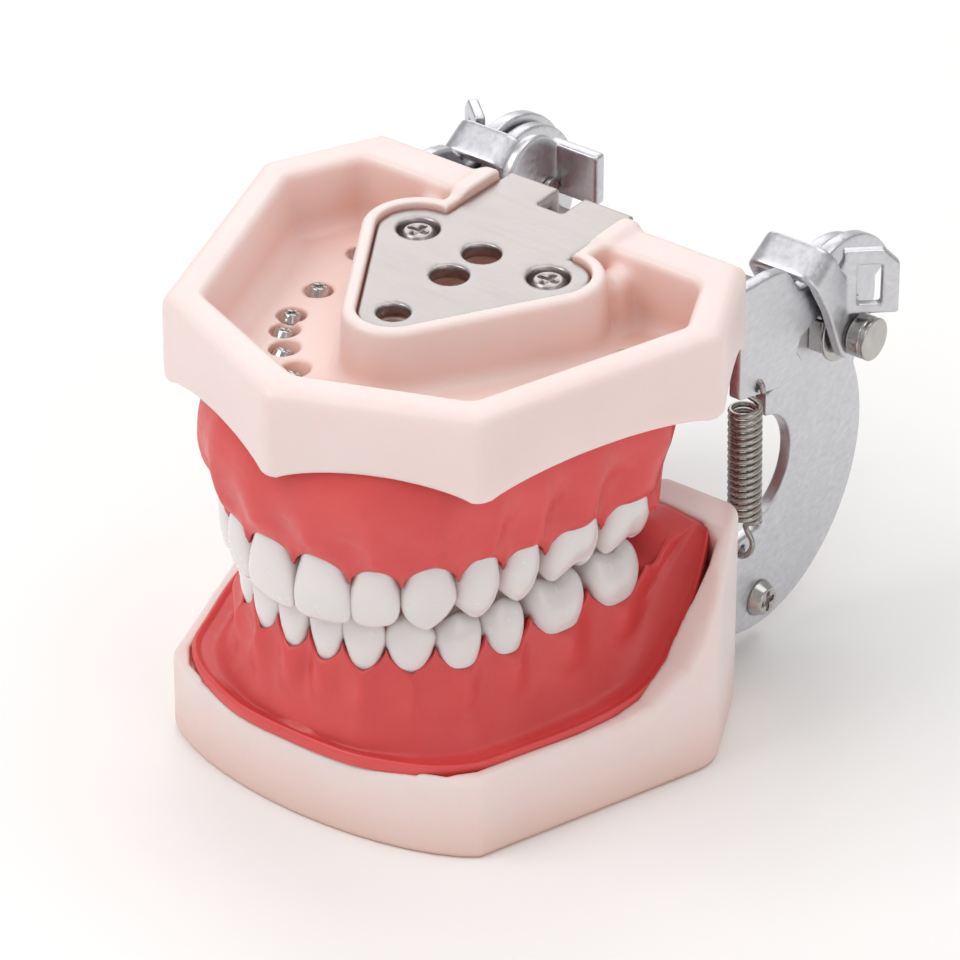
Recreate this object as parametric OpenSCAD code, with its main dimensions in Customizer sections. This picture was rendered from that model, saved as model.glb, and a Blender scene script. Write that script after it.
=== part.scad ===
// Dental articulator with a pair of tooth models (typodont).
// Origin: middle of the bounding box, on the surface the object stands on.
// +X is the model patient's left, -Y is the front (incisors), +Z is up. Millimetres.

/* [Bases] */
// Half of the width of both bases, at their widest corners
base_half_w = 37.5; // [36.5:0.5:38.5]
// Height of the closed model, from the table to the rim of the upper base
closed_h = 66.2; // [66:0.1:67]
// Height of the wall of the upper base at its corners
upper_wall_h = 12.7; // [12.5:0.1:13.5]
// Height of the front wall of the lower base
lower_wall_h = 12.3; // [12:0.1:12.6]
// Height of the two raised heels behind the lower molars
heel_top = 30; // [28:0.5:30]
// Thickness of the pocket floor in each base
floor_t = 3; // [2.5:0.1:3.4]

/* [Teeth] */
// Height of the edges of the upper incisors, jaws closed
bite_z = 31; // [31:0.1:31.4]
// Height of the upper gum line
upper_gum_z = 41; // [40.5:0.1:41.5]
// Height of the lower gum line
lower_gum_z = 23.8; // [23.4:0.1:24.2]
// Diameter of the root stubs
root_d = 4.6; // [4:0.1:4.8]

/* [Hinge] */
// Hinge axis behind the middle of the box
hinge_y = 37; // [36.8:0.1:37.2]
// Hinge axis above the table
hinge_z = 45; // [44.8:0.1:45.2]
// Diameter of the hinge pins
pin_d = 4.8; // [4.6:0.1:5]
// Backward lean of the clips' legs, in degrees
clip_tilt = 30.8; // [30:0.1:31.5]

/* [Metal] */
// Thickness of the two frames and the side plates
plate_t = 2; // [1.8:0.1:2.1]
// Thickness of the clips and the lever
clip_t = 1.6; // [1.5:0.1:1.7]
// Depth of each mounting plate below the rim of its base
plate_sink = 0.8; // [0.6:0.1:1]
// Nominal diameter of the threaded mounting holes
mount_d = 5; // [4:0.5:5]

/* [Springs] */
// Outer diameter of the closing springs
spring_d = 4.7; // [4.4:0.1:4.8]
// Wire diameter of the closing springs
wire_d = 0.8; // [0.7:0.05:0.9]

/* [Hidden] */
TEETH = ["central_incisor", "lateral_incisor", "canine", "first_premolar", "second_premolar",
         "first_molar", "second_molar"];
$fn = 48;
EPS = 0.01;
LEFT = 1;
RIGHT = -1;

SALMON = [0.96, 0.82, 0.78];
GUM_RED = [0.80, 0.18, 0.20];
ENAMEL = [0.95, 0.93, 0.91];
STEEL = [0.78, 0.78, 0.82];
NICKEL = [0.72, 0.70, 0.69];
DARK_STEEL = [0.55, 0.53, 0.52];

// plan of the bases, right half from the front midline to the rear corner
base_rear_y = 13;
base_tip = [0, -49.27];
base_front = [25.6, -38.3];
base_wide = [base_half_w, -2.9];
base_rear = [29.5, base_rear_y];
front_arc_y = -45;
wall_t = 5;
pocket_tip = [0, -43];
pocket_front = [21.5, -34.6];
pocket_wide = [32.1, -4];
pocket_rear = [27.3, 6];
upper_floor_z = closed_h - upper_wall_h;

// teeth, one row each: width along the arch where neighbours meet, depth, where the middle of the outer face stands
// (x, y), how far that face is turned from the front, and how far the root leans to the rear
UPPER = [[7.5, 7.0, 4.3, -44.7, 8, 28], [5.9, 6.2, 11.3, -42.2, 25, 29],
         [6.6, 7.8, 17.2, -37.9, 45, 27], [6.0, 8.6, 21.2, -31.6, 66, 22],
         [6.4, 8.6, 23.2, -24.9, 76, 14], [9.5, 10.4, 25.4, -16.4, 80, 10],
         [9.1, 10.4, 27.0, -6.8, 83, 16]];
LOWER = [[4.85, 5.6, 2.8, -41.8, 5.5, 20], [5.1, 6.0, 8.2, -40.8, 17, 20],
         [5.8, 7.2, 13.8, -37.7, 38, 18], [5.8, 7.4, 18.5, -32.6, 58, 10],
         [6.4, 7.8, 21.2, -26.2, 70, 6], [9.5, 9.6, 23.7, -17.6, 76, 5],
         [9.3, 9.6, 25.6, -7.6, 80, 5]];
FIRST_PREMOLAR = 3;
bite_gap = 0.3;
overbite = 0.3;
edge_t = 2.2;
root_len = 7;
upper_drop = closed_h - upper_wall_h + floor_t - upper_gum_z;
lower_drop = lower_gum_z - lower_wall_h + floor_t;

// arch of the gum: an ellipse in front, straight flared sides behind it
arch_a = 24;
arch_b = 25;
arch_mid_y = -20;
arch_flare = 4;
gum_back_y = -0.8;
pad_back_y = 7.3;

// mounting plate, seen from above
tip_hole = [0, -22.9];
tip_hole_d = 4.3;
mount_holes = [[0, -11.2], [0, -4.3]];
plate_screw = [10.5, -4.1];
tip_r = 4.6;
lobe_r = 5.4;
neck_half_w = 10;
boss_wall = 2;
plate_screw_d = 3;
plate_head_d = 5.4;
plate_head_h = 1.6;
bolt_room = 1.2;
// Depth of the drill point, and width of its flat end, at the bottom of each bolt hole
drill_tip = 1.5;
drill_flat = 1;
notch_w = 4;
notch_depth = 5;

// rear straps and arms
strap_gap = 0.4;
strap_y = base_rear_y + strap_gap;
strap_top = 61;
arm_x = 26.4;
arm_front_y = 14;
web_depth = 9.6;
crest_x = 24;
crest_r = 12.1;
crest_front_y = 14.4;
foot_mid = [24.5, 26];
foot_r = 22;
cutout_mid = [22, 29];
cutout_r = 7.8;
ledge_z = 19.8;
hook_hole_d = 1.6;
hook_inset = 1.8;
crest_screw = [23, 8.5];
pin_x = [22.4, 31, 34];
pin_head_d = 6;
nut_flat = 8;
nut_t = 2.3;
hub_r = 5;

// clips
clip_in_x = 19.7;
clip_out_x = 30.9;
clip_top = 16.2;
clip_half_w = 2.6;
clip_eye_r = 3.7;
clip_bend_r = 2.6;
lever_pivot = [1.0, 6.9];
lever_disc = [0, 11.3];
lever_disc_r = 5.9;
lever_wing = [8.4, 2, 7.6];
wing_y = 36;

// springs
spring_x = 26.2;
spring_top = [18.3, 41.6];
spring_foot = [18.9, 22.6];

tooth_screw_d = 2;
tooth_head_d = 3.4;
tooth_head_h = 1.3;
tooth_seat_d = 3.9;

function unit(v) = v / norm(v);
function flip(points) = [for (i = [len(points) - 1:-1:0]) [-points[i].x, points[i].y]];
function both(points) = concat(points, flip(points));

// points of an arc of radius r that rounds corner b between a and c
function corner(a, b, c, r, n = 4) =
    let (u = unit(a - b), v = unit(c - b), half = acos(u * v) / 2,
         middle = b + unit(u + v) * r / sin(half),
         from = b + u * r / tan(half) - middle, to = b + v * r / tan(half) - middle,
         start = atan2(from.y, from.x),
         turn = (atan2(to.y, to.x) - start + 540) % 360 - 180)
    [for (i = [0:n]) middle + r * [cos(start + turn * i / n), sin(start + turn * i / n)]];

// a closed outline with every corner rounded by its own radius
function rounded(points, radii) =
    let (n = len(points))
    [for (i = [0:n - 1]) each corner(points[(i + n - 1) % n], points[i], points[(i + 1) % n],
                                     radii[i])];

// the lower base's front edge, an arc through both front corners
function front_arc(n) =
    let (rise = base_front.y - front_arc_y,
         r = (pow(base_front.x, 2) + pow(rise, 2)) / (2 * rise),
         sweep = asin(base_front.x / r))
    [for (i = [1:n - 1]) let (t = sweep * (1 - 2 * i / n))
        [-r * sin(t), front_arc_y + r * (1 - cos(t))]];

// a point on the gum's arch, moved outwards by off; t goes from -90 to 90 round the ellipse
function arch_point(t, off) =
    [(arch_a + off) * sin(t), arch_mid_y - (arch_b + off) * cos(t)];
function arch(off, back) =
    concat([[-arch_a - off - arch_flare, back]], [for (t = [-90:10:90]) arch_point(t, off)],
           [[arch_a + off + arch_flare, back]]);

upper_plan = rounded(concat([base_tip], [base_front, base_wide, base_rear],
                            flip([base_front, base_wide, base_rear])), [2, 2, 2, 2, 2, 2, 2]);
lower_plan = rounded(concat([base_front, base_wide, base_rear],
                            flip([base_front, base_wide, base_rear]), front_arc(12)),
                     concat([1.5, 6, 2, 2, 6, 1.5], [for (i = [1:11]) 3]));
pocket_plan = rounded(concat([pocket_tip], [pocket_front, pocket_wide, pocket_rear],
                             flip([pocket_front, pocket_wide, pocket_rear])),
                      [2, 2, 2, 2, 2, 2, 2]);
lower_pocket_plan = rounded(both([[16, -39], pocket_front, pocket_wide, pocket_rear]),
                            [3, 2, 3, 2, 2, 3, 2, 3]);

// two discs joined by their outer tangents
module capsule(p, rp, q, rq) {
    gap = q - p;
    lean = acos((rp - rq) / norm(gap));
    heading = atan2(gap.y, gap.x);
    translate(p)
        circle(rp);
    translate(q)
        circle(rq);
    polygon([for (s = [1, -1], k = [0, 1])
        let (ring = (s == 1) == (k == 0) ? [p, rp] : [q, rq], a = heading + s * lean)
        ring[0] + ring[1] * [cos(a), sin(a)]]);
}

module plate_outline(grow) {
    lobe = [plate_screw.x, plate_screw.y];
    for (side = [LEFT, RIGHT])
        capsule(tip_hole, tip_r + grow, [side * lobe.x, lobe.y], lobe_r + grow);
    capsule([-lobe.x, lobe.y], lobe_r + grow, lobe, lobe_r + grow);
    translate([-neck_half_w - grow, lobe.y])
        square([2 * (neck_half_w + grow), strap_y + plate_t - lobe.y]);
}

// turns a plan-view body over, so that the lower jaw reuses the upper one's shapes
module as_lower() {
    mirror([0, 0, 1])
        children();
}

// ---- bases ----

// rim, pocket, and the boss that holds the mounting plate; its rim lies at z = 0, downwards body
module base_shell(plan, pocket, depth) {
    difference() {
        union() {
            difference() {
                translate([0, 0, -depth])
                    linear_extrude(depth)
                        polygon(plan);
                translate([0, 0, floor_t - depth])
                    linear_extrude(depth)
                        polygon(pocket);
            }
            intersection() {
                translate([0, 0, floor_t - depth - EPS])
                    linear_extrude(depth - floor_t + EPS)
                        plate_outline(boss_wall);
                translate([0, 0, -depth])
                    linear_extrude(depth)
                        polygon(plan);
            }
        }
        translate([0, 0, -plate_sink - plate_t])
            linear_extrude(plate_sink + plate_t + 1)
                plate_outline(0.1);
        for (side = [LEFT, RIGHT])
            translate([side * plate_screw.x, plate_screw.y, -depth + floor_t])
                cylinder(d = plate_screw_d + 0.06, h = depth);
        translate([tip_hole.x, tip_hole.y, -depth - 1])
            cylinder(d = tip_hole_d, h = depth + 2);
        for (p = mount_holes)
            translate([p.x, p.y, floor_t - depth])
                drilled(depth);
    }
}

// shallow scallops along the lower edge of the upper base's wall
module scallops() {
    half = concat([base_tip], [base_front, base_wide, base_rear]);
    rise = 2;
    for (side = [LEFT, RIGHT], i = [0:2]) {
        a = [side * half[i].x, half[i].y];
        b = [side * half[i + 1].x, half[i + 1].y];
        chord = norm(b - a) - 6;
        r = (pow(chord / 2, 2) + pow(rise, 2)) / (2 * rise);
        translate([(a.x + b.x) / 2, (a.y + b.y) / 2, upper_floor_z + rise - r])
            rotate([0, 0, atan2(b.y - a.y, b.x - a.x)])
                rotate([90, 0, 0])
                    cylinder(r = r, h = 2 * floor_t, center = true, $fn = 96);
    }
}

// A bolt hole with a drilled end, open at the top; the point goes below zero.
module drilled(h) {
    rotate_extrude()
        polygon([
            [0, -drill_tip],
            [drill_flat / 2, -drill_tip],
            [(mount_d + bolt_room) / 2, 0],
            [(mount_d + bolt_room) / 2, h],
            [0, h]
        ]);
}

module upper_base() {
    color(SALMON)
        difference() {
            translate([0, 0, closed_h])
                base_shell(upper_plan, pocket_plan, upper_wall_h);
            scallops();
            on_upper_roots() {
                screw_bores(UPPER, upper_drop);
                screw_seats(UPPER, upper_drop, 0.4);
            }
        }
}

// the heels and the side rims that climb to them
module heels() {
    heel_front_y = pad_back_y + 0.1;
    intersection() {
        linear_extrude(heel_top)
            polygon(lower_plan);
        for (side = [LEFT, RIGHT]) {
            translate([side * 27.5 - 10.5, heel_front_y, 0])
                cube([21, base_rear_y, heel_top]);
            translate([side * 36, 0, 0])
                rotate([90, 0, 90])
                    linear_extrude(8, center = true)
                        polygon([[-12, lower_wall_h - 1], [-12, lower_wall_h], [-7, 16.6],
                                 [-3.5, 22.9], [0.8, 28], [heel_front_y, heel_top - 0.2],
                                 [heel_front_y, lower_wall_h - 1]]);
        }
    }
}

// the lower base is closed below: only the plate's recess and the screws' holes open there
module lower_base() {
    color(SALMON)
        difference() {
            union() {
                linear_extrude(lower_wall_h)
                    polygon(lower_plan);
                difference() {
                    heels();
                    translate([0, 0, -EPS])
                        linear_extrude(lower_wall_h - 1)
                            square(200, center = true);
                }
            }
            translate([0, 0, -1])
                linear_extrude(1 + plate_sink + plate_t)
                    plate_outline(0.1);
            for (side = [LEFT, RIGHT])
                translate([side * plate_screw.x, plate_screw.y, -1])
                    cylinder(d = plate_screw_d + 0.06, h = lower_wall_h - floor_t + 1);
            for (p = mount_holes)
                translate([p.x, p.y, lower_wall_h - floor_t])
                    mirror([0, 0, 1])
                        drilled(lower_wall_h - floor_t + 1);
            translate([0, 0, lower_gum_z]) {
                screw_bores(LOWER, lower_drop);
                screw_seats(LOWER, lower_drop, lower_wall_h);
            }
        }
}

// ---- gums ----

module gum_ridge(from_z, to_z, out, inn) {
    translate([0, 0, from_z])
        linear_extrude(to_z - from_z)
            difference() {
                polygon(arch(out, gum_back_y));
                polygon(arch(-inn, gum_back_y + 1));
            }
}

module upper_gum() {
    color(GUM_RED)
        difference() {
            union() {
                gum_ridge(upper_gum_z, upper_floor_z, 1.6, 11);
                gum_ridge(upper_gum_z + 6, upper_floor_z, 3, 9);
                translate([0, 0, upper_floor_z - 4])
                    linear_extrude(4)
                        polygon(arch(-10, gum_back_y));
            }
            on_upper_roots() {
                root_sockets(UPPER);
                screw_bores(UPPER, upper_drop);
            }
        }
}

// the gum behind each last molar, which climbs in front of the heel
module retromolar_pad(side) {
    translate([side * 24.45, 0, 0])
        rotate([90, 0, 90])
            linear_extrude(14.9, center = true)
                polygon([[gum_back_y - 0.6, lower_wall_h], [gum_back_y - 0.6, lower_gum_z],
                         [2.5, heel_top - 0.6], [pad_back_y, heel_top],
                         [pad_back_y, lower_wall_h]]);
}

module lower_gum() {
    color(GUM_RED)
        difference() {
            union() {
                for (side = [LEFT, RIGHT])
                    retromolar_pad(side);
                gum_ridge(lower_wall_h, lower_gum_z, 0.8, 11);
                intersection() {
                    translate([0, 0, lower_wall_h])
                        linear_extrude(2)
                            polygon(arch(4, gum_back_y));
                    translate([0, 0, lower_wall_h])
                        linear_extrude(2)
                            polygon(rounded(both([[16, -42.6], [23.8, -36.6], [31, -14],
                                                  [31, gum_back_y]]), [4, 2, 2, 1, 1, 2, 2, 4]));
                }
            }
            translate([0, 0, lower_gum_z]) {
                root_sockets(LOWER);
                screw_bores(LOWER, lower_drop);
            }
        }
}

// ---- teeth ----

// where a tooth's own frame stands: its middle, turned so that -Y is its outer face
module at_tooth(row) {
    translate([row[2], row[3], 0])
        rotate([0, 0, row[4]])
            translate([0, row[1] / 2, 0])
                children();
}

// a frame whose -Z runs down the tooth's leaning root
module down_root(row) {
    rotate([0, 0, -row[4]])
        rotate([row[5], 0, 0])
            children();
}

module on_upper_roots() {
    translate([0, 0, upper_gum_z])
        mirror([0, 0, 1])
            children();
}

// how far down the root the screw's head sits, for a pocket floor this far below the gum line
function seat_at(row, drop) =
    (drop - tooth_seat_d / 2 * sin(row[5]) - 0.1) / cos(row[5]);

module root_sockets(table) {
    for (side = [LEFT, RIGHT], row = table)
        scale([side, 1, 1])
            at_tooth(row)
                down_root(row)
                    translate([0, 0, -root_len])
                        cylinder(d = root_d + 0.1, h = root_len + 1, $fn = 24);
}

module screw_bores(table, drop) {
    for (side = [LEFT, RIGHT], row = table)
        scale([side, 1, 1])
            at_tooth(row)
                down_root(row)
                    translate([0, 0, -seat_at(row, drop) - 1])
                        cylinder(d = tooth_screw_d + 0.1, h = seat_at(row, drop), $fn = 24);
}

module screw_seats(table, drop, reach) {
    for (side = [LEFT, RIGHT], row = table) {
        depth = tooth_seat_d * tan(row[5]) + reach;
        scale([side, 1, 1])
            at_tooth(row)
                down_root(row)
                    translate([0, 0, -seat_at(row, drop) - depth])
                        cylinder(d = tooth_seat_d, h = depth, $fn = 24);
    }
}

// one flat ring of the crown; sizes are shares of the tooth's width and depth
module crown_ring(row, z, wide, deep, shift) {
    translate([0, shift, z])
        linear_extrude(EPS)
            scale([row[0] * wide / 2, row[1] * deep / 2])
                circle(1, $fn = 12);
}

// a crown from its neck at z = 0 to its edge, standing up
module crown(row, incisor, tall) {
    edge = incisor ? edge_t / row[1] : 0.78;
    back = incisor ? (edge_t - row[1]) / 2 : 0;
    hull() {
        crown_ring(row, 0, 0.78, 0.86, 0);
        crown_ring(row, tall * 0.45, 1, incisor ? 0.8 : 1, incisor ? -row[1] * 0.1 : 0);
        crown_ring(row, tall - EPS, incisor ? 0.96 : 0.86, edge, back);
    }
}

// a tooth with its root stub, bored for its screw, standing up from the gum line at z = 0
module tooth(row, incisor, tall) {
    color(ENAMEL)
        difference() {
            union() {
                crown(row, incisor, tall);
                down_root(row)
                    translate([0, 0, -root_len])
                        cylinder(d = root_d, h = root_len + 1, $fn = 24);
            }
            down_root(row)
                translate([0, 0, -root_len - 1])
                    cylinder(d = tooth_screw_d + 0.04, h = root_len, $fn = 24);
        }
}

module upper_tooth(index, side) {
    row = UPPER[index];
    incisor = index < FIRST_PREMOLAR;
    scale([side, 1, 1])
        at_tooth(row)
            translate([0, 0, upper_gum_z])
                mirror([0, 0, 1])
                    tooth(row, incisor, upper_gum_z - bite_z - (incisor ? 0 : bite_gap / 2));
}

module lower_tooth(index, side) {
    row = LOWER[index];
    incisor = index < FIRST_PREMOLAR;
    scale([side, 1, 1])
        at_tooth(row)
            translate([0, 0, lower_gum_z])
                tooth(row, incisor, bite_z - lower_gum_z + (incisor ? overbite : -bite_gap / 2));
}

// ---- frames ----

// mounting plate with its holes, top face at z = 0; its rear edge meets the web behind the base
module mounting_plate() {
    difference() {
        translate([0, 0, -plate_t])
            linear_extrude(plate_t)
                plate_outline(0);
        translate([0, 0, -plate_t - 1])
            for (p = mount_holes)
                translate([p.x, p.y, 0])
                    cylinder(d = mount_d, h = plate_t + 2);
        translate([tip_hole.x, tip_hole.y, -plate_t - 1])
            cylinder(d = tip_hole_d, h = plate_t + 2);
        for (side = [LEFT, RIGHT])
            translate([side * plate_screw.x, plate_screw.y, -plate_t - 1]) {
                cylinder(d = plate_screw_d + 0.2, h = plate_t + 2);
                translate([0, 0, plate_t + 1 - plate_head_h])
                    cylinder(d = plate_head_d + 0.2, h = plate_head_h + 1);
            }
        translate([-notch_w / 2, strap_y + plate_t - notch_depth, -plate_t - 1])
            cube([notch_w, notch_depth + 1, plate_t + 2]);
    }
}

// side view (y, z) of the upper arm: it hooks over the hub on the hinge pin
module arm_side() {
    hook_r = 13;
    arm = [[arm_front_y, 44.6], [arm_front_y, strap_top], [21, strap_top - 0.6], [24, 59.6],
           [27.4, 55.4], [hinge_y, 54], [hinge_y, 47], [32, 49], [28, 47.7], [26.9, 46.1],
           [28.5, 43.9], [28.3, 42.3], [23, 42.2]];
    hook_sector = [[27.2, 55.4], [hinge_y, hinge_z + 20], [hinge_y + 20, hinge_z + 9],
                   [hinge_y + 1, hinge_z + 1], [33, 47.5]];
    difference() {
        union() {
            polygon(arm);
            intersection() {
                translate([hinge_y, hinge_z])
                    circle(hook_r, $fn = 96);
                polygon(hook_sector);
            }
        }
        translate([hinge_y, hinge_z])
            circle(hub_r);
        translate([spring_top.x, spring_top.y + hook_inset + 1.4])
            circle(d = hook_hole_d, $fn = 24);
    }
}

module upper_frame() {
    color(NICKEL) {
        translate([0, 0, closed_h - plate_sink])
            mounting_plate();
        difference() {
            translate([-neck_half_w, strap_y, strap_top - plate_t])
                cube([2 * neck_half_w, plate_t, closed_h - plate_sink - strap_top + plate_t]);
            translate([-notch_w / 2, strap_y - 1, strap_top])
                cube([notch_w, plate_t + 2, closed_h]);
        }
        translate([-arm_x, strap_y, strap_top - plate_t])
            cube([2 * arm_x, web_depth, plate_t]);
    }
}

module upper_arm(side) {
    color(NICKEL)
        translate([side * (arm_x + plate_t / 2), 0, 0])
            rotate([90, 0, 90])
                linear_extrude(plate_t, center = true)
                    arm_side();
}

module lower_frame() {
    flange_x = crest_x - plate_t;
    color(STEEL)
        difference() {
            union() {
                translate([0, 0, plate_sink])
                    as_lower()
                        mounting_plate();
                translate([-neck_half_w, strap_y, plate_sink])
                    cube([2 * neck_half_w, plate_t, 4]);
                translate([-crest_x, strap_y, 3])
                    cube([2 * crest_x, 9, plate_t]);
                for (side = [LEFT, RIGHT])
                    translate([side * (flange_x + plate_t / 2) - plate_t / 2, strap_y, 3])
                        cube([plate_t, 14, 11]);
            }
            for (side = [LEFT, RIGHT])
                translate([side * crest_x, crest_screw.x, crest_screw.y])
                    rotate([0, 90, 0])
                        cylinder(d = 3, h = 6, center = true, $fn = 24);
        }
}

// side view (y, z) of the crescent: a round head for the pin, a waist, and a broad foot
module side_plate_outline() {
    lobe_y = cutout_mid.x + 1.6;
    back_y = foot_mid.x + foot_r;
    difference() {
        union() {
            translate([hinge_y, hinge_z])
                circle(crest_r, $fn = 96);
            intersection() {
                translate(foot_mid)
                    circle(foot_r, $fn = 128);
                polygon([[crest_front_y, 0], [back_y, 0], [back_y, hinge_z], [lobe_y, hinge_z - 5],
                         [lobe_y, ledge_z], [crest_front_y, ledge_z]]);
            }
        }
        translate(cutout_mid)
            circle(cutout_r, $fn = 64);
        translate([hinge_y, hinge_z])
            circle(d = pin_d + 0.04);
        translate([spring_foot.x, ledge_z - hook_inset])
            circle(d = hook_hole_d, $fn = 24);
    }
}

module side_plate(side) {
    color(STEEL)
        difference() {
            translate([side * (crest_x + plate_t / 2), 0, 0])
                rotate([90, 0, 90])
                    linear_extrude(plate_t, center = true)
                        side_plate_outline();
            translate([side * crest_x, crest_screw.x, crest_screw.y])
                rotate([0, 90, 0])
                    cylinder(d = 3.1, h = 6, center = true, $fn = 24);
        }
}

// ---- hinge hardware ----

module at_hinge(side, x) {
    translate([side * x, hinge_y, hinge_z])
        rotate([0, side * 90, 0])
            children();
}

module hinge_pin(side) {
    color(DARK_STEEL)
        difference() {
            union() {
                at_hinge(side, 18.6)
                    cylinder(d = pin_d, h = pin_x[1] - 18.6 + 0.3);
                at_hinge(side, pin_x[1] + 0.2)
                    cylinder(d = pin_head_d, h = pin_x[2] - pin_x[1] - 0.2);
            }
            at_hinge(side, pin_x[2] - 0.9)
                difference() {
                    cylinder(d = pin_head_d + 1, h = 0.25);
                    cylinder(d = pin_head_d - 0.4, h = 0.25);
                }
        }
}

module hinge_nuts() {
    color(DARK_STEEL)
        for (side = [LEFT, RIGHT])
            at_hinge(side, crest_x + plate_t)
                difference() {
                    cylinder(d = nut_flat / cos(30), h = nut_t, $fn = 6);
                    translate([0, 0, -1])
                        cylinder(d = pin_d, h = nut_t + 2);
                }
}

module hinge_washers() {
    color(STEEL)
        for (side = [LEFT, RIGHT])
            at_hinge(side, crest_x + plate_t + nut_t)
                difference() {
                    cylinder(r = hub_r - 0.3, h = 0.6);
                    translate([0, 0, -1])
                        cylinder(d = pin_d, h = 2);
                }
}

// ---- clips: an inverted U that swings on the pin and covers the arm's hook ----

// the clip's own frame: origin on the hinge axis, +Z along the leaning legs
module in_clip() {
    translate([0, hinge_y, hinge_z])
        rotate([clip_tilt, 0, 0])
            children();
}

module clip_front_view() {
    inner = [clip_in_x + clip_t, clip_out_x - clip_t];
    difference() {
        union() {
            translate([clip_in_x, -10])
                square([clip_out_x - clip_in_x, clip_top + 10 - clip_bend_r]);
            translate([clip_in_x + clip_bend_r, 0])
                square([clip_out_x - clip_in_x - 2 * clip_bend_r, clip_top]);
            for (x = [clip_in_x + clip_bend_r, clip_out_x - clip_bend_r])
                translate([x, clip_top - clip_bend_r])
                    circle(clip_bend_r);
        }
        translate([inner[0], -11])
            square([inner[1] - inner[0], clip_top - clip_t + 11]);
    }
}

module clip_side_view() {
    difference() {
        union() {
            capsule([0, 0], clip_eye_r, [0, 8], clip_half_w);
            translate([-clip_half_w, 8])
                square([2 * clip_half_w, clip_top - 8]);
        }
        circle(d = pin_d + 0.1);
    }
}

// thumb wing bent out from the rear of the outer leg, with its window
module clip_wing() {
    translate([clip_out_x - clip_t, wing_y - 0.6, hinge_z])
        rotate([0, 0, 42])
            difference() {
                union() {
                    translate([0, -clip_t, 3.8])
                        cube([7.6, clip_t, 9.6]);
                    translate([3, 0, 9.8])
                        rotate([90, 0, 0])
                            cylinder(r = 3.6, h = clip_t);
                }
                translate([2, -clip_t - 1, 5.2])
                    cube([3.2, clip_t + 2, 6]);
                translate([7.6, 0, 13.4])
                    rotate([90, 45, 0])
                        cube([3, 3, 9], center = true);
            }
}

module clip(side) {
    color(STEEL)
        scale([side, 1, 1]) {
            in_clip()
                difference() {
                    intersection() {
                        rotate([90, 0, 0])
                            linear_extrude(12, center = true)
                                clip_front_view();
                        rotate([90, 0, 90])
                            linear_extrude(50)
                                clip_side_view();
                    }
                    translate([clip_in_x - 1, lever_pivot.x, lever_pivot.y])
                        rotate([0, 90, 0])
                            cylinder(d = 2.5, h = clip_t + 2);
                }
            clip_wing();
        }
}

// cam lever beside the right clip's inner leg, with an upright thumb wing
module release_lever() {
    color(STEEL) {
        in_clip()
            difference() {
                translate([-clip_in_x + 0.1, lever_disc.x, lever_disc.y])
                    rotate([0, 90, 0])
                        cylinder(r = lever_disc_r, h = clip_t);
                translate([-clip_in_x, lever_pivot.x, lever_pivot.y])
                    rotate([0, 90, 0])
                        cylinder(d = 2.5, h = clip_t + 2);
            }
        translate([-clip_in_x + 0.1, hinge_y - 0.8, hinge_z + 5])
            cube(lever_wing);
    }
}

module lever_screw() {
    color(DARK_STEEL)
        in_clip()
            translate([-clip_in_x - clip_t, lever_pivot.x, lever_pivot.y])
                rotate([0, 90, 0]) {
                    cylinder(d = 2.4, h = 2 * clip_t + 0.1);
                    translate([0, 0, 2 * clip_t + 0.1])
                        cylinder(d = 3.4, h = 0.8);
                }
}

// ---- springs, screws ----

// closing spring: a stack of closely wound rings between two hook eyes
module spring(side) {
    span = spring_top - spring_foot;
    pitch = wire_d * 1.25;
    rings = floor((norm(span) - 2) / pitch);
    ring_r = (spring_d - wire_d) / 2;
    color(DARK_STEEL)
        translate([side * spring_x, spring_foot.x, spring_foot.y])
            rotate([-atan2(span.x, span.y), 0, 0]) {
                difference() {
                    translate([0, 0, 1])
                        cylinder(d = spring_d - wire_d * 0.5, h = norm(span) - 2);
                    cylinder(d = spring_d - wire_d * 1.5, h = norm(span));
                }
                for (i = [0:rings - 1])
                    translate([0, 0, 1 + wire_d / 2 + i * pitch])
                        rotate_extrude($fn = 24)
                            translate([ring_r, 0])
                                circle(d = wire_d, $fn = 16);
            }
}

module pan_screw(d, shank, head_d, head_h) {
    difference() {
        union() {
            translate([0, 0, -shank])
                cylinder(d = d, h = shank, $fn = 24);
            cylinder(d1 = head_d, d2 = head_d * 0.7, h = head_h, $fn = 32);
        }
        for (a = [0, 90])
            translate([0, 0, head_h])
                rotate([0, 0, a])
                    cube([head_d * 0.55, head_d * 0.14, head_h], center = true);
    }
}

module side_plate_screws() {
    color(DARK_STEEL)
        for (side = [LEFT, RIGHT])
            translate([side * (crest_x + plate_t), crest_screw.x, crest_screw.y])
                rotate([0, side * 90, 0])
                    pan_screw(3, plate_t * 2, 5.4, 1.7);
}

module plate_screws() {
    for (side = [LEFT, RIGHT])
        translate([side * plate_screw.x, plate_screw.y, -plate_head_h])
            pan_screw(plate_screw_d, 5, plate_head_d, plate_head_h - 0.2);
}

module upper_plate_screws() {
    color(STEEL)
        translate([0, 0, closed_h - plate_sink])
            plate_screws();
}

module lower_plate_screws() {
    color(STEEL)
        translate([0, 0, plate_sink])
            as_lower()
                plate_screws();
}

module tooth_screws(table, drop) {
    engaged = 3.5;
    color(DARK_STEEL)
        for (side = [LEFT, RIGHT], row = table)
            scale([side, 1, 1])
                at_tooth(row)
                    down_root(row)
                        translate([0, 0, -seat_at(row, drop)])
                            rotate([180, 0, 0])
                                pan_screw(tooth_screw_d, seat_at(row, drop) - root_len + engaged,
                                          tooth_head_d, tooth_head_h);
}

module upper_tooth_screws() {
    on_upper_roots()
        tooth_screws(UPPER, upper_drop);
}

module lower_tooth_screws() {
    translate([0, 0, lower_gum_z])
        tooth_screws(LOWER, lower_drop);
}

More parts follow.
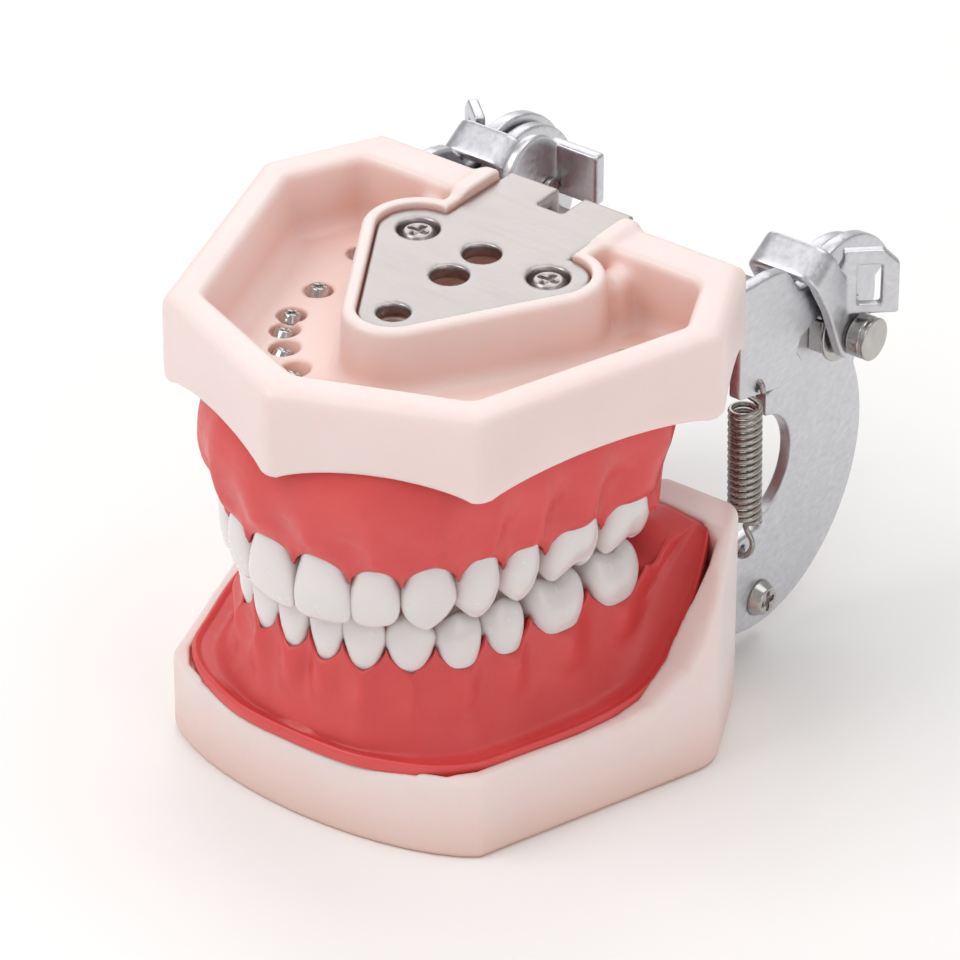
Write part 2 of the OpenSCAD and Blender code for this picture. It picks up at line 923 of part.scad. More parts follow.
upper_base();
lower_base();
upper_gum();
lower_gum();
upper_frame();
lower_frame();
upper_arm(LEFT);  // upper_arm_left
upper_arm(RIGHT);  // upper_arm_right
side_plate(LEFT);  // side_plate_left
side_plate(RIGHT);  // side_plate_right
hinge_pin(LEFT);  // hinge_pin_left
hinge_pin(RIGHT);  // hinge_pin_right
hinge_nuts();
hinge_washers();
clip(LEFT);  // clip_left
clip(RIGHT);  // clip_right
release_lever();
lever_screw();
spring(LEFT);  // spring_left
spring(RIGHT);  // spring_right
side_plate_screws();
upper_plate_screws();
lower_plate_screws();
upper_tooth_screws();
lower_tooth_screws();
for (i = [0:6]) {
    upper_tooth(i, LEFT);
    upper_tooth(i, RIGHT);
    lower_tooth(i, LEFT);
    lower_tooth(i, RIGHT);
}
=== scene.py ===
import math

import bmesh
import bpy
import numpy as np
import openvdb
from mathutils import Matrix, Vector


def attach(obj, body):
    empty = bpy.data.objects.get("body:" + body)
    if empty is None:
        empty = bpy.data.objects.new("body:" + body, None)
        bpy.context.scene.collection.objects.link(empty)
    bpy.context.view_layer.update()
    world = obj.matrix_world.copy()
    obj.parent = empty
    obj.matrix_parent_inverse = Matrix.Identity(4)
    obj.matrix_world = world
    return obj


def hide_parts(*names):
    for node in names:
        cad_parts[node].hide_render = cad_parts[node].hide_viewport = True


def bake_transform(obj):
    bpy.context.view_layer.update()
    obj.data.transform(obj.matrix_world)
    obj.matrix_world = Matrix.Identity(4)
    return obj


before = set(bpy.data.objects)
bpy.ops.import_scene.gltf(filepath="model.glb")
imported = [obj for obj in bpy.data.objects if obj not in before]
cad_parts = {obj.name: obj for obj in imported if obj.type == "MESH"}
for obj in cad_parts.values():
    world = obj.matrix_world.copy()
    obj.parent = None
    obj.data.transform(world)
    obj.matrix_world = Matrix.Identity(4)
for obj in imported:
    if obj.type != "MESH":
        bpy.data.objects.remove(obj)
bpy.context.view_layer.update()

MM = 0.001
SCENE = bpy.context.scene

# ---------------------------------------------------------------- dimensions, in millimetres
RIM_Z = 66.2
UPPER_FLOOR_Z = 53.5
LOWER_TOP_Z = 12.3
PLAN_TIP = (0, -49.2)
PLAN = [(25.6, -38.3), (37.4, -2.9), (29.5, 13.0)]
POCKET_TIP = (0, -43)
POCKET = [(21.5, -34.6), (32.1, -4), (27.3, 6)]
TIP_HOLE = (0, -22.9)
MOUNT_HOLES = [(0, -11.2), (0, -4.3)]
PLATE_SCREW = (10.5, -4.1)
GUM_Z = {"upper": 41.0, "lower": 23.8}
# share of its measured width that each crown gets, and the gap between the chewing surfaces
CROWN_FIT = 0.995
BITE_GAP = 0.02
# radii of the tip hole, the bolt holes and the recesses over the tooth screws
TIP_HOLE_R = 2.15
BOLT_HOLE_R = 3.1
SEAT_R = 1.95
PLATE_DEPTH = 2.9
FLOOR_THICK = 3
NAMES = ["central_incisor", "lateral_incisor", "canine", "first_premolar", "second_premolar",
         "first_molar", "second_molar"]
# width, depth, x and y of the middle of the outer face, turn, lean of the root
ROWS = {
    "upper": [(8.4, 7.0, 4.3, -44.7, 8, 28), (6.6, 6.2, 11.3, -42.2, 25, 29),
              (7.5, 7.8, 17.2, -37.9, 45, 27), (7.0, 8.6, 21.2, -31.6, 66, 22),
              (6.7, 8.6, 23.2, -24.9, 76, 14), (9.6, 10.4, 25.4, -16.4, 80, 10),
              (9.2, 10.4, 27.0, -6.8, 83, 16)],
    "lower": [(5.3, 5.6, 2.8, -41.8, 5, 20), (5.9, 6.0, 8.2, -40.8, 17, 20),
              (6.8, 7.2, 13.8, -37.7, 38, 18), (6.9, 7.4, 18.5, -32.6, 58, 10),
              (7.0, 7.8, 21.2, -26.2, 70, 6), (9.6, 9.6, 23.7, -17.6, 76, 5),
              (9.4, 9.6, 25.6, -7.6, 80, 5)],
}


# ---------------------------------------------------------------- materials
class Nodes:
    """Small helper that builds one procedural material."""

    def __init__(self, name, **values):
        self.mat = bpy.data.materials.new(name)
        self.mat.use_nodes = True
        self.tree = self.mat.node_tree
        self.bsdf = self.tree.nodes["Principled BSDF"]
        self.coords = self.tree.nodes.new("ShaderNodeTexCoord").outputs["Object"]
        for key, value in values.items():
            self.bsdf.inputs[key.replace("_", " ")].default_value = value

    def link(self, a, b):
        self.tree.links.new(a, b)

    def scaled(self, scale):
        node = self.tree.nodes.new("ShaderNodeMapping")
        node.inputs["Scale"].default_value = scale
        self.link(self.coords, node.inputs["Vector"])
        return node.outputs["Vector"]

    def noise(self, scale, detail=3.0, rough=0.5, vector=None):
        node = self.tree.nodes.new("ShaderNodeTexNoise")
        node.inputs["Scale"].default_value = scale
        node.inputs["Detail"].default_value = detail
        node.inputs["Roughness"].default_value = rough
        self.link(vector or self.coords, node.inputs["Vector"])
        return node.outputs["Fac"]

    def ramp(self, fac, stops):
        node = self.tree.nodes.new("ShaderNodeValToRGB")
        ramp = node.color_ramp
        while len(ramp.elements) < len(stops):
            ramp.elements.new(0.5)
        for element, (place, colour) in zip(ramp.elements, stops):
            element.position = place
            element.color = (*colour, 1)
        self.link(fac, node.inputs["Fac"])
        return node.outputs["Color"]

    def span(self, fac, low, high, from_low=0.0, from_high=1.0):
        node = self.tree.nodes.new("ShaderNodeMapRange")
        for key, value in (("From Min", from_low), ("From Max", from_high),
                           ("To Min", low), ("To Max", high)):
            node.inputs[key].default_value = value
        self.link(fac, node.inputs["Value"])
        return node.outputs["Result"]

    def mix(self, fac, a, b, kind="MIX"):
        node = self.tree.nodes.new("ShaderNodeMix")
        node.data_type = "RGBA"
        node.blend_type = kind
        for socket, value in ((node.inputs["Factor"], fac), (node.inputs[6], a),
                              (node.inputs[7], b)):
            if isinstance(value, (int, float, tuple)):
                socket.default_value = value
            else:
                self.link(value, socket)
        return node.outputs[2]

    def edges(self, low, high):
        """1 on convex edges, 0 elsewhere."""
        node = self.tree.nodes.new("ShaderNodeNewGeometry")
        return self.span(node.outputs["Pointiness"], 0, 1, low, high)

    def occlusion(self, distance):
        node = self.tree.nodes.new("ShaderNodeAmbientOcclusion")
        node.samples = 6
        node.inputs["Distance"].default_value = distance
        return node.outputs["AO"]

    def bump(self, heights, strength, distance):
        previous = None
        for fac, s, d in zip(heights, strength, distance):
            node = self.tree.nodes.new("ShaderNodeBump")
            node.inputs["Strength"].default_value = s
            node.inputs["Distance"].default_value = d
            self.link(fac, node.inputs["Height"])
            if previous:
                self.link(previous, node.inputs["Normal"])
            previous = node.outputs["Normal"]
        self.link(previous, self.bsdf.inputs["Normal"])

    def set(self, key, output):
        self.link(output, self.bsdf.inputs[key])


def base_plastic():
    m = Nodes("moulded_salmon_resin", IOR=1.49, Subsurface_Weight=0.35, Subsurface_Scale=0.004,
              Coat_Weight=0.06, Coat_Roughness=0.25)
    m.bsdf.inputs["Subsurface Radius"].default_value = (1.0, 0.45, 0.30)
    cloud = m.noise(60, 4)
    tone = m.ramp(cloud, [(0.3, (0.90, 0.735, 0.70)), (0.7, (0.93, 0.775, 0.745))])
    # painted shade: orange-brown darkening in the pocket, corners and around the bosses, driven by ambient
    # occlusion
    painted_pocket_shade = m.ramp(m.occlusion(0.012), [(0.25, (0.80, 0.50, 0.38)), (0.95, (1, 1, 1))])
    m.set("Base Color", m.mix(0.75, tone, painted_pocket_shade, "MULTIPLY"))
    m.set("Roughness", m.span(m.noise(900, 3), 0.34, 0.46, 0.3, 0.7))
    m.bump([m.noise(2200, 2), m.noise(120, 2)], [0.06, 0.05], [0.0002, 0.0008])
    return m.mat


def gum_rubber():
    m = Nodes("soft_gum", IOR=1.46, Subsurface_Weight=0.28, Subsurface_Scale=0.003,
              Coat_Weight=0.10, Coat_Roughness=0.30)
    m.bsdf.inputs["Subsurface Radius"].default_value = (1.0, 0.25, 0.18)
    tone = m.ramp(m.noise(90, 5, 0.6), [(0.3, (0.70, 0.070, 0.070)), (0.72, (0.78, 0.100, 0.095))])
    # painted shade: darker, browner red in the creases and where the gum meets the crowns and base, driven
    # by ambient occlusion
    deep = m.ramp(m.occlusion(0.006), [(0.2, (0.62, 0.28, 0.26)), (0.9, (1, 1, 1))])
    m.set("Base Color", m.mix(0.8, tone, deep, "MULTIPLY"))
    m.set("Roughness", m.span(m.noise(700, 3), 0.36, 0.50, 0.3, 0.7))
    m.bump([m.noise(1500, 3), m.noise(260, 3)], [0.10, 0.12], [0.0002, 0.0006])
    return m.mat


def tooth_resin():
    m = Nodes("polished_tooth_resin", IOR=1.52, Subsurface_Weight=0.30, Subsurface_Scale=0.0016,
              Coat_Weight=0.45, Coat_Roughness=0.09)
    m.bsdf.inputs["Subsurface Radius"].default_value = (1.0, 0.85, 0.70)
    tone = m.ramp(m.noise(140, 4), [(0.3, (0.79, 0.75, 0.74)), (0.7, (0.83, 0.795, 0.785))])
    # painted shade: brownish darkening between crowns and at the gum line, driven by ambient occlusion
    deep = m.ramp(m.occlusion(0.003), [(0.15, (0.62, 0.42, 0.38)), (0.8, (1, 1, 1))])
    m.set("Base Color", m.mix(0.6, tone, deep, "MULTIPLY"))
    m.set("Roughness", m.span(m.noise(600, 3), 0.17, 0.28, 0.3, 0.7))
    perikymata = m.noise(500, 2, 0.5, m.scaled((0.35, 0.35, 3.0)))
    m.bump([perikymata, m.noise(160, 2)], [0.05, 0.10], [0.0002, 0.0008])
    return m.mat


def metal(name, colour, rough, grain, stretch, bump, wear=0.1):
    m = Nodes(name, Metallic=1.0)
    light = tuple(min(1, c * 1.10) for c in colour)
    dark = tuple(c * 0.86 for c in colour)
    along = m.scaled(stretch)
    streak = m.noise(grain, 5, 0.65, along)
    blotch = m.noise(110, 4)
    tone = m.ramp(streak, [(0.3, dark), (0.7, light)])
    tone = m.mix(m.span(blotch, 0, 0.35, 0.35, 0.75), tone, (*dark, 1))
    edge = m.edges(0.52, 0.60)
    m.set("Base Color", m.mix(m.span(edge, 0, wear), tone, (*light, 1)))
    rough_mix = m.span(streak, rough[0], rough[1], 0.3, 0.7)
    m.set("Roughness", rough_mix)
    m.bump([streak, m.noise(700, 3)], [bump, bump * 0.5], [0.00008, 0.0001])
    return m.mat


def holes_dark():
    m = Nodes("bore_shadow", Roughness=0.6)
    m.set("Base Color", m.ramp(m.noise(300, 3), [(0.3, (0.05, 0.02, 0.012)), (0.7, (0.11, 0.05, 0.03))]))
    return m.mat


MAT = {
    "base": base_plastic(),
    "gum": gum_rubber(),
    "tooth": tooth_resin(),
    "nickel": metal("brushed_nickel", (0.47, 0.435, 0.425), (0.28, 0.42), 900, (0.12, 1, 1), 0.25),
    "satin": metal("satin_steel", (0.66, 0.66, 0.69), (0.30, 0.44), 1200, (1, 0.6, 1), 0.12),
    "bright": metal("bright_hardware", (0.52, 0.50, 0.485), (0.16, 0.28), 500, (1, 1, 1), 0.10, 0.2),
    "spring": metal("drawn_wire", (0.42, 0.39, 0.365), (0.20, 0.34), 1500, (1, 1, 0.3), 0.10),
    "bore": holes_dark(),
}


# ---------------------------------------------------------------- mesh helpers
def mesh_of(name, verts, faces):
    """A mesh from millimetre points and equal-sized faces, as arrays."""
    me = bpy.data.meshes.new(name)
    v = np.asarray(verts, np.float64) * MM
    f = np.asarray(faces, np.int32)
    me.vertices.add(len(v))
    me.vertices.foreach_set("co", v.astype(np.float32).ravel())
    me.loops.add(f.size)
    me.loops.foreach_set("vertex_index", f.ravel())
    me.polygons.add(len(f))
    me.polygons.foreach_set("loop_start", np.arange(0, f.size, f.shape[1], dtype=np.int32))
    me.update(calc_edges=True)
    me.validate()
    return me


def clean(me, merge=0, fill=False):
    """Merge close points, close open ends and turn every face outwards."""
    bm = bmesh.new()
    bm.from_mesh(me)
    if merge:
        bmesh.ops.remove_doubles(bm, verts=bm.verts, dist=merge * MM)
    if fill:
        bmesh.ops.holes_fill(bm, edges=[e for e in bm.edges if e.is_boundary], sides=0)
    bmesh.ops.recalc_face_normals(bm, faces=bm.faces)
    bm.to_mesh(me)
    bm.free()


def piece(name, me, kind, body, nodes=(), smooth=True):
    me.materials.clear()
    me.materials.append(MAT[kind])
    if smooth:
        me.shade_smooth()
    ob = bpy.data.objects.new(name, me)
    SCENE.collection.objects.link(ob)
    if body:
        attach(ob, body)
    if nodes:
        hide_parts(*nodes)
    return ob


def lattice(rows, cols, wrap=False, first=0):
    """Quads of a rows x cols grid of points, numbered row by row."""
    i, j = np.meshgrid(np.arange(rows - 1), np.arange(cols if wrap else cols - 1), indexing="ij")
    k = (j + 1) % cols
    return first + np.stack([i * cols + j, i * cols + k, (i + 1) * cols + k, (i + 1) * cols + j],
                            -1).reshape(-1, 4)


def spline(points, per):
    """Catmull-Rom through the points along axis 0, with per samples in each span."""
    p = np.asarray(points, float)
    p = np.concatenate([[2 * p[0] - p[1]], p, [2 * p[-1] - p[-2]]])
    out = []
    for i in range(1, len(p) - 2):
        for t in np.arange(per) / per:
            a, b, c, d = p[i - 1:i + 3]
            out.append(0.5 * (2 * b + (c - a) * t + (2 * a - 5 * b + 4 * c - d) * t * t
                              + (3 * b - a - 3 * c + d) * t ** 3))
    out.append(p[-2])
    return np.array(out)


def unit(v):
    return v / np.linalg.norm(v, axis=-1, keepdims=True)


def rounded(points, radii, n=6):
    """A closed outline with every corner rounded by its own radius."""
    p = np.asarray(points, float)
    out = []
    for i, b in enumerate(p):
        u, v = unit(p[i - 1] - b), unit(p[(i + 1) % len(p)] - b)
        half = math.acos(np.clip(u @ v, -1, 1)) / 2
        if abs(half - math.pi / 2) < 0.02:
            out.append(b)
            continue
        r = radii[i]
        mid = b + unit(u + v) * r / math.sin(half)
        a, c = b + u * r / math.tan(half) - mid, b + v * r / math.tan(half) - mid
        start = math.atan2(a[1], a[0])
        turn = (math.atan2(c[1], c[0]) - start + 3 * math.pi) % (2 * math.pi) - math.pi
        out += [mid + r * np.array([math.cos(start + turn * k / n), math.sin(start + turn * k / n)])
                for k in range(n + 1)]
    return np.array(out)


def mirrored(points):
    return [(-x, y) for x, y in reversed(points)]


# ---------------------------------------------------------------- solid fields for the moulded bases
def smin(a, b, k):
    h = np.clip(0.5 + 0.5 * (b - a) / k, 0, 1)
    return b * (1 - h) + a * h - k * h * (1 - h)


def smax(a, b, k):
    return -smin(-a, -b, k)


def outline_field(poly, x, y):
    """Signed distance to a closed outline, negative inside."""
    d2 = np.full(np.broadcast(x, y).shape, 1e9)
    inside = np.zeros(d2.shape, bool)
    for a, b in zip(poly, np.roll(poly, -1, axis=0)):
        ex, ey = b - a
        wx, wy = x - a[0], y - a[1]
        t = np.clip((wx * ex + wy * ey) / max(ex * ex + ey * ey, 1e-9), 0, 1)
        d2 = np.minimum(d2, (wx - ex * t) ** 2 + (wy - ey * t) ** 2)
        if abs(ey) > 1e-9:
            inside ^= ((a[1] > y) != (b[1] > y)) & (x < ex * (y - a[1]) / ey + a[0])
    return np.where(inside, -1, 1) * np.sqrt(d2)


def capsule_field(x, y, p, rp, q, rq):
    """Signed distance to two discs joined by their tangents, good enough for fillets."""
    ex, ey = q[0] - p[0], q[1] - p[1]
    t = np.clip(((x - p[0]) * ex + (y - p[1]) * ey) / (ex * ex + ey * ey), 0, 1)
    return np.hypot(x - p[0] - ex * t, y - p[1] - ey * t) - (rp + (rq - rp) * t)


def plate_field(x, y):
    sx, sy = PLATE_SCREW
    d = np.minimum(capsule_field(x, y, TIP_HOLE, 4.6, (sx, sy), 5.4),
                   capsule_field(x, y, TIP_HOLE, 4.6, (-sx, sy), 5.4))
    d = np.minimum(d, capsule_field(x, y, (-sx, sy), 5.4, (sx, sy), 5.4))
    return np.minimum(d, np.maximum(np.abs(x) - 10, np.maximum(sy - y, y - 20)))


def surface(field, lo, step, name):
    """Quads on the zero level of a sampled field."""
    band = 3 * step
    grid = openvdb.FloatGrid(band)
    grid.copyFromArray(np.clip(field, -band, band).astype(np.float32))
    points, quads = grid.convertToQuads(isovalue=0.0)
    return mesh_of(name, points * step + np.array(lo), quads[:, ::-1])


def axes_of(lo, hi, step):
    x, y, z = (np.arange(a, b + step, step) for a, b in zip(lo, hi))
    return x[:, None, None], y[None, :, None], z[None, None, :]


def root_axes(arch):
    """For each tooth: where its root line starts on the gum line, and its direction."""
    up = 1 if arch == "upper" else -1
    for side in (1, -1):
        for _, d, x, y, turn, lean in ROWS[arch]:
            a, b = math.radians(turn), math.radians(lean)
            start = np.array([side * (x - math.sin(a) * d / 2), y + math.cos(a) * d / 2, GUM_Z[arch]])
            yield start, np.array([0, math.sin(b), up * math.cos(b)]), lean


def recesses(d, x, y, depth, wall):
    """The places for the mounting plate, its bolts and its screws."""
    d = smax(d, -smax(plate_field(x, y) - 0.18, depth - PLATE_DEPTH, 0.2), 0.35)
    d = smax(d, TIP_HOLE_R - np.hypot(x - TIP_HOLE[0], y - TIP_HOLE[1]) + 0 * depth, 0.2)
    for px, py in MOUNT_HOLES:
        bolt = np.minimum(BOLT_HOLE_R - np.hypot(x - px, y - py), wall - FLOOR_THICK - depth)
        d = smax(d, bolt, 0.2)
    return d


def base_field(x, y, depth, outer, pocket, wall):
    """A rimmed tray: depth is the distance below the rim, outer and pocket are plan fields."""
    d = smax(outer, -depth, 2.3)
    floor = wall - 3.2 - 0.7 * np.exp(-((x / 16) ** 2 + ((y + 24) / 14) ** 2))
    hollow = smax(smax(pocket + 0.07 * depth, depth - floor, 2.6), -depth - 3, 0.1)
    d = smax(d, -hollow, 1.4)
    plan = plate_field(x, y)
    boss = smax(smax(plan - 2.0 - 0.05 * depth, -depth, 0.9), y - 12.6, 0.5)
    for side in (1, -1):
        lump = np.hypot(x - side * 14.9, y - 3.6) - 2.0 - 0.06 * depth
        boss = smin(boss, smax(lump, 2.0 - depth, 2.4), 1.0)
    boss = np.maximum(boss, depth - wall + 1)
    d = smin(d, boss, 2.2)
    return recesses(d, x, y, depth, wall)


def seats(d, arch, x, y, z, floor_z, room):
    """The recess over each tooth screw, up to room beyond the floor."""
    for start, way, lean in root_axes(arch):
        reach = (floor_z - start[2]) / way[2]
        px, py, pz = x - start[0], y - start[1], z - start[2]
        along = px * way[0] + py * way[1] + pz * way[2]
        off = np.sqrt(np.maximum(px * px + py * py + pz * pz - along * along, 0))
        tilt = math.tan(math.radians(lean))
        cut = np.maximum(off - SEAT_R, reach - 0.25 - 1.3 * tilt - along)
        d = smax(d, -np.maximum(cut, along - reach - room), 0.3)
    return d


def upper_base():
    step = 0.3
    lo, hi = (-39, -51, 52), (39, 15, 68)
    x, y, z = axes_of(lo, hi, step)
    outer = outline_field(rounded([PLAN_TIP] + PLAN + mirrored(PLAN), [2.5, 2.5, 2.5, 1.0, 1.0, 2.5, 2.5]),
                          x, y)
    pocket = outline_field(rounded([POCKET_TIP] + POCKET + mirrored(POCKET), [2.5] * 7), x, y)
    d = base_field(x, y, RIM_Z - z, outer, pocket, RIM_Z - UPPER_FLOOR_Z)
    # the lower edge of the wall rises in shallow scallops between the corners
    dip = np.zeros(np.broadcast(x, y).shape)
    corners = [PLAN_TIP] + PLAN
    for a, b in zip(corners, corners[1:]):
        a, b = np.array(a, float), np.array(b, float)
        e = b - a
        t = ((np.abs(x) - a[0]) * e[0] + (y - a[1]) * e[1]) / (e @ e)
        dip = np.maximum(dip, 2.1 * np.clip(1 - (2 * t - 1) ** 2 * 1.25, 0, 1) ** 0.8
                         * (np.abs((np.abs(x) - a[0]) * e[1] - (y - a[1]) * e[0]) / np.hypot(*e) < 7))
    d = smax(d, UPPER_FLOOR_Z + dip * (outer > -5) - z, 1.3)
    d = seats(d, "upper", x, y, z, UPPER_FLOOR_Z + FLOOR_THICK, 3.2)
    me = surface(d, lo, step, "upper_base_moulding")
    return piece("upper_base_moulding", me, "base", "upper", ["upper_base"])


BORDER = [(0, -45.0), (4.1, -45.0), (10.3, -44.4), (15.3, -42.4), (21.4, -39.9), (23.9, -36.9),
          (25.9, -30.8), (29.2, -22.1), (31.4, -11.8), (32.2, -6), (33.0, -2.5), (33.2, 1.0),
          (31.5, 5.2), (27.6, 7.2), (23.0, 7.4), (19.5, 7.4)]


def heel_top(y):
    return np.interp(y, [-60, -16, -12, -7.1, -3.5, 0.8, 6.9, 14],
                     [12.3, 12.3, 13.0, 16.6, 22.6, 27.6, 29.7, 30.0])


def lower_base():
    step = 0.3
    lo, hi = (-39, -47.5, -1), (39, 15, 32)
    x, y, z = axes_of(lo, hi, step)
    arc = [(25.2 * math.sin(t), -38.3 - 6.6 * (math.cos(t) - math.cos(1.1)) / (1 - math.cos(1.1)))
           for t in np.linspace(-1.1, 1.1, 15)]
    arc = [(px * 25.4 / (25.2 * math.sin(1.1)), py) for px, py in arc]
    plan = [(37.4, -2.9), (29.5, 13.0)]
    outer = outline_field(rounded(arc + plan + mirrored(plan), [1.6] + [4] * 13 + [1.6, 7, 3, 3, 7]),
                          x, y)
    d = recesses(smax(outer, -z, 1.0), x, y, z, LOWER_TOP_Z)
    d = smax(d, z - heel_top(y), 1.6)
    border = outline_field(np.array(BORDER + [(19.5, -0.5)] + mirrored([(19.5, -0.5)] + BORDER[1:])),
                           x, y)
    d = smax(d, -np.maximum(border + 0.3, LOWER_TOP_Z - 0.8 - z), 0.5)
    throat = np.maximum(np.abs(x) - 17, LOWER_TOP_Z - z)
    d = smax(d, -throat, 1.5)
    d = seats(d, "lower", x, y, z, LOWER_TOP_Z - FLOOR_THICK, 14)
    me = surface(d, lo, step, "lower_base_moulding")
    return piece("lower_base_moulding", me, "base", "lower", ["lower_base"])


# ---------------------------------------------------------------- teeth
def rise(t, stops):
    """Smooth curve through (t, value) stops."""
    ts, vs = np.array(stops).T
    t = np.asarray(t, float)
    i = np.clip(np.searchsorted(ts, t, side="right") - 1, 0, len(ts) - 2)
    slopes = np.gradient(vs, ts)
    h = ts[i + 1] - ts[i]
    u = np.clip((t - ts[i]) / h, 0, 1)
    return ((2 * u ** 3 - 3 * u ** 2 + 1) * vs[i] + (u ** 3 - 2 * u ** 2 + u) * h * slopes[i]
            + (-2 * u ** 3 + 3 * u ** 2) * vs[i + 1] + (u ** 3 - u ** 2) * h * slopes[i + 1])


def front_tooth(w, d, h, kind, lower):
    """Incisor or canine: rings up to a rounded cutting edge. x is distal, -y the outer face."""
    n, m = 56, 34
    a = np.linspace(0, 2 * math.pi, n, endpoint=False)
    ca, sa = np.cos(a), np.sin(a)
    point = {"central": 0.0, "lateral": 0.05, "canine": 0.30}[kind]
    corner = {"central": 0.10, "lateral": 0.16, "canine": 0.10}[kind]
    neck = 0.72 if lower else 0.76
    wide = [(-0.3, neck * 0.9), (0, neck), (0.3, 0.90), (0.62, 1.0), (0.85, 0.985), (1.0, 0.93)]
    if kind == "canine":
        wide = [(-0.3, neck * 0.9), (0, neck), (0.3, 0.93), (0.55, 1.0), (0.8, 0.95), (1.0, 0.80)]
    face = [(-0.3, -0.36), (0, -0.43), (0.25, -0.495), (0.55, -0.485), (0.8, -0.44), (1.0, -0.375)]
    back = [(-0.3, 0.38), (0, 0.44), (0.18, 0.47), (0.4, 0.26), (0.65, 0.02), (0.85, -0.09),
            (1.0, -0.16)]
    if kind == "canine":
        back = [(-0.3, 0.38), (0, 0.45), (0.2, 0.48), (0.45, 0.33), (0.7, 0.10), (1.0, -0.13)]
    rows = []
    for v in np.linspace(0, 1, m):
        t = -0.28 + 1.28 * min(1, v / 0.82) * 0.93
        close = 0.0
        if v > 0.82:
            phi = (v - 0.82) / 0.18 * math.pi / 2
            t = 1.0 * 0.912 + (1 - 0.912) * math.sin(phi)
            close = 1 - math.cos(phi)
        half_w = rise(t, wide) * w / 2 * (1 - 0.10 * close)
        yf, yb = rise(t, face) * d, rise(t, back) * d
        mid, half_d = (yf + yb) / 2, (yb - yf) / 2 * (1 - 0.97 * close)
        square_f, square_b = 2.7, 2.2
        e = np.where(sa < 0, square_f, square_b)
        s = (np.abs(ca) ** e + np.abs(sa) ** e) ** (-1 / e)
        px, py = half_w * s * ca, s * sa
        flat = np.where(py < 0, 0.10 * np.cos(px / (w / 2) * 5.0) * np.clip(t, 0, 1) ** 2
                        * (0.35 if kind == "canine" else 1), 0)
        py = mid + half_d * (py - flat * 0.25 * (1 - close))
        q = px / (w / 2)
        top = 1 - point * np.abs(q + 0.06) ** 1.25 - corner * np.abs(q) ** 5 - 0.035 * q
        z = h * t * np.where(t > 0, 1 + (top - 1) * np.clip(t, 0, 1) ** 2, 1)
        rows.append(np.stack([px, py, z + np.zeros(n)], -1))
    return np.array(rows)


def back_tooth(w, d, h, cusps, facial_lean):
    """Premolar or molar: rings up to the cusps, then inwards over the chewing surface."""
    n, side_rows, top_rows = 64, 24, 16
    a = np.linspace(0, 2 * math.pi, n, endpoint=False)
    ca, sa = np.cos(a), np.sin(a)
    e = 2.9 if cusps > 2 else 2.5
    s = (np.abs(ca) ** e + np.abs(sa) ** e) ** (-1 / e)
    ux, uy = s * ca, s * sa
    if cusps == 2:
        peaks = [(-90, 1.0, 40), (90, 0.93, 40)]
    else:
        peaks = [(-133, 1.0, 24), (-47, 0.97, 24), (47, 0.94, 24), (133, 0.97, 24)]
    deg = np.degrees(np.arctan2(uy * d, ux * w))
    rim = np.full(n, 0.0)
    for place, tall, spread in peaks:
        gap = (deg - place + 180) % 360 - 180
        rim = np.maximum(rim, tall - (0.20 if cusps == 2 else 0.15) * (1 - np.exp(-(gap / spread) ** 2)))
    rim = (rim + np.roll(rim, 1) + np.roll(rim, -1)) / 3
    rows = []
    for v in np.linspace(0, 1, side_rows):
        t = -0.32 + 1.32 * v
        wide = rise(t, [(-0.32, 0.70), (0, 0.80), (0.3, 0.94), (0.55, 1.0), (0.8, 0.95), (0.93, 0.87),
                        (1.0, 0.78)])
        deep = rise(t, [(-0.32, 0.76), (0, 0.88), (0.25, 0.98), (0.5, 0.98), (0.75, 0.87),
                        (0.92, 0.74), (1.0, 0.63)])
        fade = np.clip(t, 0, 1) ** 1.5
        groove = 1
        if cusps > 2:
            groove = groove - 0.045 * np.exp(-((deg + 90) / 13) ** 2) * fade
            groove = groove - 0.035 * np.exp(-((deg - 90) / 13) ** 2) * fade
        px = ux * w / 2 * wide
        py = uy * d / 2 * deep * groove + facial_lean * d * (np.clip(t, 0, 1) - 0.5)
        z = h * t * np.where(t > 0, 1 + (rim - 1) * np.clip(t, 0, 1) ** 2, 1) + 0 * a
        rows.append(np.stack([px, py, z], -1))
    edge = rows[-1]
    pit = np.array([0, edge[:, 1].mean(), h * (0.70 if cusps == 2 else 0.72)])
    for v in np.linspace(0, 1, top_rows)[1:]:
        r = 1 - v
        px, py = edge[:, 0] * r, pit[1] + (edge[:, 1] - pit[1]) * r
        z = pit[2] + (edge[:, 2] - pit[2]) * ((1 - np.cos(np.pi * min(1, r * 1.06))) / 2 * 0.75 + r * 0.25)
        z = z + 0.05 * h * math.sin(math.pi * min(1, v * 2.2)) * (v < 0.46)
        if cusps > 2:
            cross = np.exp(-(px / (0.06 * w)) ** 2) + np.exp(-((py - pit[1]) / (0.06 * d)) ** 2)
        else:
            cross = np.exp(-((py - pit[1]) / (0.07 * d)) ** 2)
        z = z - 0.45 * np.clip(cross, 0, 1) * np.clip(r * 3, 0, 1) * np.clip((0.95 - r) * 4, 0, 1)
        rows.append(np.stack([px, py, z], -1))
    return np.array(rows)


